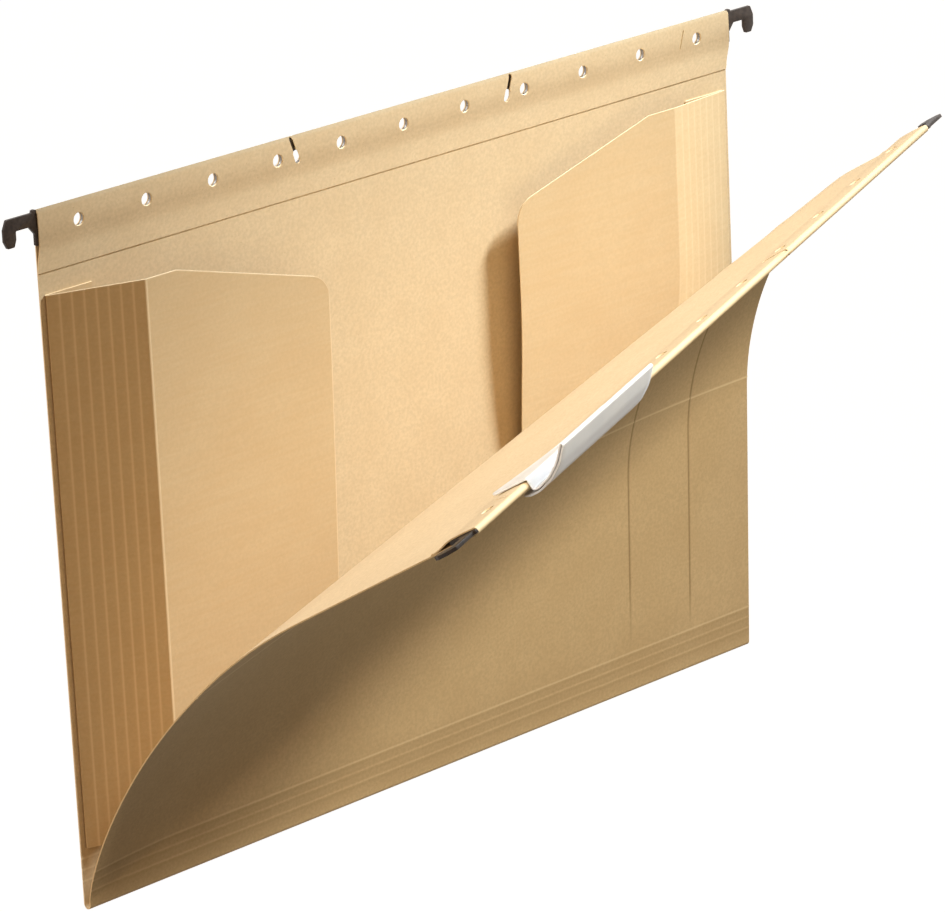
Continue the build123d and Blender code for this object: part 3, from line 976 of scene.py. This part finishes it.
def makeGusset(word, pose):
    side = pose["side"]
    turnRun = math.pi * flap["turnRadius"]
    runs = list(-turnRun * np.linspace(1, 0, 11))
    lines = [(i + flap["scoreFirst"]) * flap["scorePitch"] for i in range(flap["scoreCount"])]
    for middle in lines:
        runs += [middle + step * flap["scoreSpan"] for step in (-3.2, *lineSteps, 3.2)]
    runs.append(flap["foot"])
    end = flap["gusset"] - flap["creaseSpan"]
    runs = [s for s in runs if s < end - 0.3 * mm] + [end]
    runs += list(np.linspace(end, flap["gusset"], 6)[1:])
    runs = np.array(sorted(runs))
    reach = np.maximum(runs, 0)
    along = heightRows(flapLow(reach), flapHigh(reach), flap["rows"])
    sheet = cardBlank(f"{word}_gusset_strip", np.tile(runs, (flap["rows"], 1)), along)
    flat = readPoints(sheet)
    s = flat[:, 0]
    lift = np.zeros(len(s))
    rub = np.zeros(len(s))
    half = flap["scoreSpan"]
    for middle in lines:
        line = ridge(s, middle, half)
        halo = ridge(s, middle, 3 * half)
        # painted shade on each score's side away from the light
        dark = ridge(s, middle - side * 2.2 * half, 1.8 * half)
        lift += line * flap["scoreDepth"]
        worn = flap["lineRub"] * line + flap["haloRub"] * halo - flap["lineDark"] * dark
        rub += pose["scoreRub"] * worn
    # painted highlight along the crease and the top edge
    rub += pose["creaseRub"] * smoothStep(end, flap["gusset"], s)
    rub = np.maximum(rub, pose["edgeRub"] * paleEdge(flat[:, 1], flapHigh(np.maximum(s, 0))))
    # painted shadow in the tight turn from the glued tab
    rub -= flap["turnDark"] * smoothStep(-0.25 * turnRun, -0.6 * turnRun, s)
    bendFlap(sheet, pose, lift, rub)
    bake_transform(sheet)
    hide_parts(f"{word}_gusset")


def makeFlapFace(word, pose):
    start = flap["gusset"]
    runs = list(np.linspace(start, start + flap["creaseSpan"], 6))
    runs += [start + reach for reach in flap["creaseRuns"]]
    runs += list(np.linspace(start + flap["faceFrom"], start + flap["level"], 6))
    runs += list(np.linspace(start + flap["level"], flapEnd - flap["corner"], 16)[1:])
    turn = np.radians(np.linspace(0, 90, 19))[1:]
    runs += list(flapEnd - flap["corner"] + flap["corner"] * np.sin(turn))
    runs = np.array(runs)
    along = heightRows(flapLow(runs), flapHigh(runs), flap["rows"])
    sheet = cardBlank(f"{word}_flap_leaf", np.tile(runs, (flap["rows"], 1)), along)
    flat = readPoints(sheet)
    s = flat[:, 0]
    # painted highlight along the crease, the top edge and the free edge
    rub = pose["creaseRub"] * (1 - smoothStep(*flap["creasePale"], s - start))
    pale = np.maximum(paleEdge(flat[:, 1], flapHigh(s)), paleEdge(s, flapEnd))
    rub = np.maximum(rub, pose["edgeRub"] * pale)
    bendFlap(sheet, pose, np.zeros(len(s)), rub)
    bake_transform(sheet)
    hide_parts(f"{word}_flap_face")


for word, pose in leaning.items():
    makeGlueTab(word, pose["side"])
    makeGusset(word, pose)
    makeFlapFace(word, pose)
print("side flaps folded")


# Rails: the CAD strips with their edges eased

rail = {
    "merge": 0.01 * mm, "flatAngle": math.radians(2), "bevel": 0.2 * mm, "segments": 2,
    "edgeAngle": math.radians(30), "smoothAngle": math.radians(32), "cutReach": 4 * mm, "cutFacing": 0.75,
}


def makeRail(name, node, body, spots, through):  # spots are the middles of its holes and windows
    piece = bpy.data.objects.new(name, frame["nodes"][node].data.copy())
    bpy.context.scene.collection.objects.link(piece)
    selectOnly(piece)
    bpy.ops.object.mode_set(mode="EDIT")
    bpy.ops.mesh.select_all(action="SELECT")
    bpy.ops.mesh.remove_doubles(threshold=rail["merge"])
    bpy.ops.mesh.dissolve_limited(angle_limit=rail["flatAngle"])
    bpy.ops.object.mode_set(mode="OBJECT")
    addAndApply(piece, "BEVEL", width=rail["bevel"], segments=rail["segments"], limit_method="ANGLE",
                angle_limit=rail["edgeAngle"])
    selectOnly(piece)
    bpy.ops.object.shade_smooth_by_angle(angle=rail["smoothAngle"])
    piece.data.materials.clear()
    piece.data.materials.append(railSteel)
    piece.data.materials.append(cutSteel)
    for face in piece.data.polygons:
        away = [face.center - spot for spot in spots]
        reach = min((offset - offset.dot(through) * through).length for offset in away)
        onWall = abs(face.normal.dot(through)) < rail["cutFacing"]
        face.material_index = int(reach < rail["cutReach"] and onWall)
    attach(piece, body)
    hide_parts(node)


cuts = [(x, -punched["below"]) for x in holeSpots] + [slitSpot(side) for side in (-1, 1)]
backSpots = [Vector((x, 0, cardTop + z)) for x, z in cuts]
makeRail("back_hook_rail", "back_rail", "folder_back", backSpots, Vector((0, 1, 0)))
cutU = np.array([-x for x, z in cuts])
cutV = np.array([coverHeight + z for x, z in cuts])
places, facings = bendCover(cutU, cutV, np.full(len(cuts), hem["foldRadius"]))
frontSpots = [Vector(place) for place in places]
makeRail("front_hook_rail", "front_rail", "cover_top", frontSpots, Vector(facings[0]))
print("rails eased")


# Index tab: one strip of plastic bent into a foot, a sleeve for the label and a lip behind the hem

tab = {
    "from": 31.3 * mm - halfWidth, "length": 58.4 * mm, "wall": 0.6 * mm, "edge": 0.14 * mm, "columns": 25,
    "path": ((1.5, -4.3), (2.35, -1.4), (2.35, 2.4), (0.75, 8.8), (-2.5, 14.8),
             (-7.2, 20.2), (-7.9, 19.55), (-3.24, 14.2), (-0.13, 8.45), (1.4, 2.3),
             (1.0, 0.62), (-2.9, 0.62), (-2.9, -13.0), (-3.1, -15.3)),
    "radii": (2.2, 7.0, 14.0, 16.0, 0.5, 0.5, 15.0, 13.0, 4.0, 0.6, 0.6, 3.0),
    "lipRound": 2.4 * mm, "lipInside": -2.4 * mm, "lipArch": 0.72, "archPower": 1.4, "footRound": 1.2 * mm,
    "edgeAngle": math.radians(50), "smoothAngle": math.radians(40), "endFacing": 0.6,
    "labelWall": 0.2 * mm, "labelEdge": 0.05 * mm, "labelLength": 57 * mm,
    "labelPath": ((1.15, 5.4), (0.31, 8.6), (-2.87, 14.5), (-6.9, 19.06)), "labelRadii": (13.5, 15.5),
}


def roundedPath(corners, radii):  # runs and arcs through the section's corners
    corners = [np.array(corner, float) * mm for corner in corners]
    path = [corners[0]]
    for before, corner, after, radius in zip(corners[:-2], corners[1:-1], corners[2:], radii):
        into = (before - corner) / np.linalg.norm(before - corner)
        onward = (after - corner) / np.linalg.norm(after - corner)
        half = math.acos(np.clip(into @ onward, -1, 1)) / 2
        longest = 0.48 * min(np.linalg.norm(before - corner), np.linalg.norm(after - corner))
        reach = min(radius * mm / math.tan(half), longest)
        bisector = (into + onward) / np.linalg.norm(into + onward)
        centre = corner + bisector * reach / math.cos(half)
        first = corner + into * reach - centre
        last = corner + onward * reach - centre
        sweep = math.atan2(first[0] * last[1] - first[1] * last[0], first @ last)
        for part in np.linspace(0, 1, 9):
            turn = sweep * part
            path.append(centre + np.array([first[0] * math.cos(turn) - first[1] * math.sin(turn),
                                           first[0] * math.sin(turn) + first[1] * math.cos(turn)]))
    path.append(corners[-1])
    return np.array(path)


def closeEnds(path):  # more rows where the two ends are rounded
    first = [path[0] + (path[1] - path[0]) * reach for reach in (0, 0.12, 0.3, 0.6)]
    last = [path[-2] + (path[-1] - path[-2]) * reach for reach in (0.2, 0.5, 0.75, 0.9, 1)]
    return np.array(first + list(path[1:-1]) + last)


def endInset(path, radius):  # how far a rounded corner draws each row in, counted from the path's start
    run = np.concatenate([[0], np.cumsum(np.linalg.norm(np.diff(path, axis=0), axis=1))])
    short = np.clip(radius - run, 0, radius)
    return radius - np.sqrt(radius ** 2 - short ** 2)


def tabStrip(name, path, start, length, wall, edge, finish, inset=None, ends=None):
    u = np.linspace(start, start + length, tab["columns"])
    across, row = np.meshgrid(u, np.arange(len(path), dtype=float))
    strip = cardBlank(name, across, row)
    flat = readPoints(strip)
    line = np.rint(flat[:, 1]).astype(int)
    across = flat[:, 0]
    up = path[line, 1]
    if inset is not None:
        middle = start + length / 2
        arch = 1 - np.clip(2 * (middle - across) / length, 0, 1) ** tab["archPower"]
        lip = (path[line, 0] < tab["lipInside"]) & (up < 0)
        up = up * (1 - tab["lipArch"] * arch * lip)  # the lip is deepest at its left end
        across = middle + (across - middle) * (1 - 2 * inset[line] / length)
    writePoints(strip, atCoverTop(across, -path[line, 0], up))
    strip.data.materials.append(finish)
    addAndApply(strip, "SOLIDIFY", thickness=wall, offset=0, use_even_offset=True)
    addAndApply(strip, "BEVEL", width=edge, segments=2, limit_method="ANGLE", angle_limit=tab["edgeAngle"])
    selectOnly(strip)
    bpy.ops.object.shade_smooth_by_angle(angle=tab["smoothAngle"])
    if ends:
        strip.data.materials.append(ends)
        first, last = bendCover(np.array([start, start + length]), np.full(2, coverHeight), np.zeros(2))[0]
        along = Vector(last - first).normalized()
        for face in strip.data.polygons:
            face.material_index = int(abs(face.normal.dot(along)) > tab["endFacing"])
    return strip


def makeIndexTab():
    path = closeEnds(roundedPath(tab["path"], tab["radii"]))
    inset = endInset(path, tab["footRound"]) + endInset(path[::-1], tab["lipRound"])[::-1]
    holder = tabStrip("index_holder", path, tab["from"], tab["length"], tab["wall"], tab["edge"], tabPlastic,
                      inset, tabEnd)
    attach(holder, "index_tab_holder")
    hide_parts("index_tab")
    spare = (tab["length"] - tab["labelLength"]) / 2
    path = roundedPath(tab["labelPath"], tab["labelRadii"])
    label = tabStrip("paper_label", path, tab["from"] + spare, tab["labelLength"], tab["labelWall"],
                     tab["labelEdge"], labelPaper)
    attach(label, "index_tab_label")
    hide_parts("index_label")


makeIndexTab()
print("index tab and label placed")


# Stage: pale floor, white surroundings that glow warmly from the left, and seven soft lamps

stage = {
    "floorLevel": -0.62, "floorSize": 14.0, "floorGlow": 0.95, "floorLit": (0.30, 0.30, 0.30, 1),
    "floorDim": (0.22, 0.21, 0.20, 1),  # what the floor throws back on the object
    "drift": (-1.18, 0.0, 0.04), "ambient": 0.10, "ambientTint": (1.1, 0.80, 0.51, 1),
}
keyLamp = {
    "name": "key", "from": (0.62, -0.3, 0.72), "distance": 1.5,
    "aim": (-0.002, 0.0, -0.09), "cone": 0.30, "soft": 0.13, "power": 240.0, "tint": (0.905, 0.99, 1.035),
}
coverLamp = {
    "name": "cover", "from": (0.4, 0.0, 0.92), "distance": 1.5,
    "aim": (0.0, -0.1, -0.05), "cone": 0.5, "soft": 0.13, "power": 90.0, "tint": (0.89, 1.0, 1.14),
}
topLamp = {
    "name": "top", "from": (-0.2, 0.3, 0.93), "distance": 1.4,
    "aim": (0.03, 0.0, -0.05), "cone": 1.2, "soft": 0.4, "power": 14.0, "tint": (1.0, 1.0, 1.0),
}
frontLamp = {
    "name": "front", "from": (0.0, -0.75, 0.66), "distance": 1.0,
    "aim": (-0.02, -0.05, -0.045), "cone": 0.37, "soft": 0.08, "power": 31.5, "tint": (1.12, 1.0, 0.76),
}
underLamp = {
    "name": "under", "from": (0.5, -0.5, -0.7), "distance": 0.55,
    "aim": (0.07, -0.06, -0.05), "cone": 0.32, "soft": 0.05, "power": 1.7, "tint": (1.05, 1.0, 0.8),
}
rearLamp = {
    "name": "rear", "from": (-0.3, 0.8, 0.5), "distance": 1.5,
    "aim": (0.0, 0.0, -0.1), "cone": 0.7, "soft": 0.2, "power": 50.0, "tint": (1.0, 1.0, 1.0),
}
sideLamp = {
    "name": "side", "from": (-0.85, -0.3, 0.42), "distance": 0.7,  # aimed at the tab
    "cone": 0.1, "soft": 0.05, "power": 9.0, "tint": (1.0, 1.0, 1.0),
}


def makeFloor():
    floor = addPrimitive("plane", size=stage["floorSize"], location=(0, 0, stage["floorLevel"]))
    floor.name = "floor"
    bpy.ops.object.transform_apply(location=True)
    finish, tree, shader = newFinish("pale_floor")
    tree.nodes.remove(shader)
    output = tree.nodes["Material Output"]
    lit = addNode(tree, "BsdfDiffuse")
    lit.inputs["Color"].default_value = stage["floorLit"]
    glow = addNode(tree, "Emission")
    glow.inputs["Strength"].default_value = stage["floorGlow"]
    bright = addNode(tree, "AddShader")
    tree.links.new(lit.outputs[0], bright.inputs[0])
    tree.links.new(glow.outputs[0], bright.inputs[1])
    dim = addNode(tree, "BsdfDiffuse")
    dim.inputs["Color"].default_value = stage["floorDim"]
    choose = addNode(tree, "MixShader")
    tree.links.new(seenDirectly(tree), choose.inputs[0])
    tree.links.new(dim.outputs[0], choose.inputs[1])
    tree.links.new(bright.outputs[0], choose.inputs[2])
    tree.links.new(choose.outputs[0], output.inputs["Surface"])
    floor.data.materials.append(finish)


def seenDirectly(tree):  # 1 for the camera and for what metal and plastic reflect or let through
    path = addNode(tree, "LightPath")
    first = addNode(tree, "Math", operation="MAXIMUM")
    second = addNode(tree, "Math", operation="MAXIMUM")
    tree.links.new(path.outputs["Is Camera Ray"], first.inputs[0])
    tree.links.new(path.outputs["Is Glossy Ray"], first.inputs[1])
    tree.links.new(first.outputs[0], second.inputs[0])
    tree.links.new(path.outputs["Is Transmission Ray"], second.inputs[1])
    return second.outputs[0]


def makeSurroundings():
    world = bpy.data.worlds.new("studio")
    bpy.context.scene.world = world
    world.use_nodes = True
    tree = world.node_tree
    background = tree.nodes["Background"]
    spot = addNode(tree, "TexCoord")
    toward = addNode(tree, "VectorMath", operation="DOT_PRODUCT")
    toward.inputs[1].default_value = stage["drift"]
    tree.links.new(spot.outputs["Generated"], toward.inputs[0])
    level = addNode(tree, "Math", operation="ADD", use_clamp=True)
    level.inputs[1].default_value = stage["ambient"]
    tree.links.new(toward.outputs["Value"], level.inputs[0])
    tree.links.new(level.outputs[0], background.inputs["Strength"])
    background.inputs["Color"].default_value = stage["ambientTint"]
    white = addNode(tree, "Background")
    white.inputs["Color"].default_value = (1, 1, 1, 1)
    choose = addNode(tree, "MixShader")
    tree.links.new(seenDirectly(tree), choose.inputs[0])
    tree.links.new(background.outputs[0], choose.inputs[1])
    tree.links.new(white.outputs[0], choose.inputs[2])
    tree.links.new(choose.outputs[0], tree.nodes["World Output"].inputs["Surface"])


def makeLamp(lamp, receivers):  # a soft spot, kept to the pieces that it is meant for
    toLight = Vector(lamp["from"]).normalized()
    data = bpy.data.lights.new(lamp["name"], "SPOT")
    data.shadow_soft_size = lamp["soft"]
    data.spot_size = 2 * math.atan(lamp["cone"] / lamp["distance"])
    data.spot_blend = 1.0
    data.energy = lamp["power"]
    data.color = lamp["tint"]
    made = bpy.data.objects.new(lamp["name"], data)
    made.location = Vector(lamp["aim"]) + toLight * lamp["distance"]
    made.rotation_euler = toLight.to_track_quat("Z", "Y").to_euler()
    bpy.context.scene.collection.objects.link(made)
    lit = bpy.data.collections.new("lit_by_" + lamp["name"])
    for piece in receivers:
        lit.objects.link(piece)
    made.light_linking.receiver_collection = lit


def makeLights():
    pieces = [piece for piece in bpy.context.scene.collection.all_objects if piece.type == "MESH"]
    cover = [piece for piece in pieces if piece.name.startswith(("cover_sheet", "bottom_crease"))]
    makeLamp(keyLamp, [piece for piece in pieces if piece not in cover])
    makeLamp(coverLamp, cover)
    makeLamp(topLamp, pieces)
    makeLamp(frontLamp, cover + [piece for piece in pieces if piece.name == "index_holder"])
    makeLamp(underLamp, cover)
    makeLamp(rearLamp, [piece for piece in pieces if piece.name in ("back_sheet", "back_hook_rail")])
    tabLow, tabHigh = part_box("index_tab")
    sideLamp["aim"] = (tabLow + tabHigh) / 2
    makeLamp(sideLamp, [piece for piece in pieces if piece.name in ("index_holder", "paper_label")])


photoView = {
    "sensor": 36, "lens": 202.58, "clipEnd": 40,
    "place": (-1.17102, -1.27092, 0.45905), "turn": (71.4407, 2.6053, -44.1472),
}


def makeCamera():
    view = bpy.data.cameras.new("photo_view")
    view.sensor_fit = "HORIZONTAL"
    view.sensor_width = photoView["sensor"]
    view.lens = photoView["lens"]
    view.clip_end = photoView["clipEnd"]
    camera = bpy.data.objects.new("photo_view", view)
    camera.location = photoView["place"]
    camera.rotation_euler = [math.radians(angle) for angle in photoView["turn"]]
    bpy.context.scene.collection.objects.link(camera)
    bpy.context.scene.camera = camera


makeFloor()
makeSurroundings()
makeLights()
makeCamera()
bpy.context.scene.view_settings.view_transform = "Standard"
print("stage lit")

bpy.context.view_layer.update()
